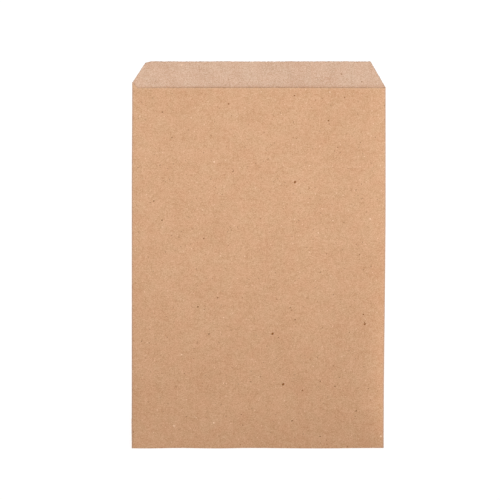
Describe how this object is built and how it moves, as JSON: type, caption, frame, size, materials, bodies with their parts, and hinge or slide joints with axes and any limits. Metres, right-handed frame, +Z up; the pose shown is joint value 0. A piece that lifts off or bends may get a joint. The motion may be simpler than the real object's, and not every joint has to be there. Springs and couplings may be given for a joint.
{
  "type": "flat paper merchandise bag",
  "caption": "Flat kraft paper bag lying on its back, with a lip at the mouth, slanted mouth corners, a lapped back seam and a folded and glued bottom.",
  "frame": {"origin": "centre of the bottom of the bag's box, on the ground it lies on", "axes": "+X across the bag, +Y along it from the bottom fold towards the lip, +Z up from the back to the front"},
  "size_m": [0.1502, 0.2284, 0.0029],
  "materials": {
    "kraft_paper": "uncoated brown kraft paper, matte, with fine grain and dark and pale flecks"
  },
  "bodies": {
    "root": {"bag": "kraft_paper"}
  },
  "joints": []
}
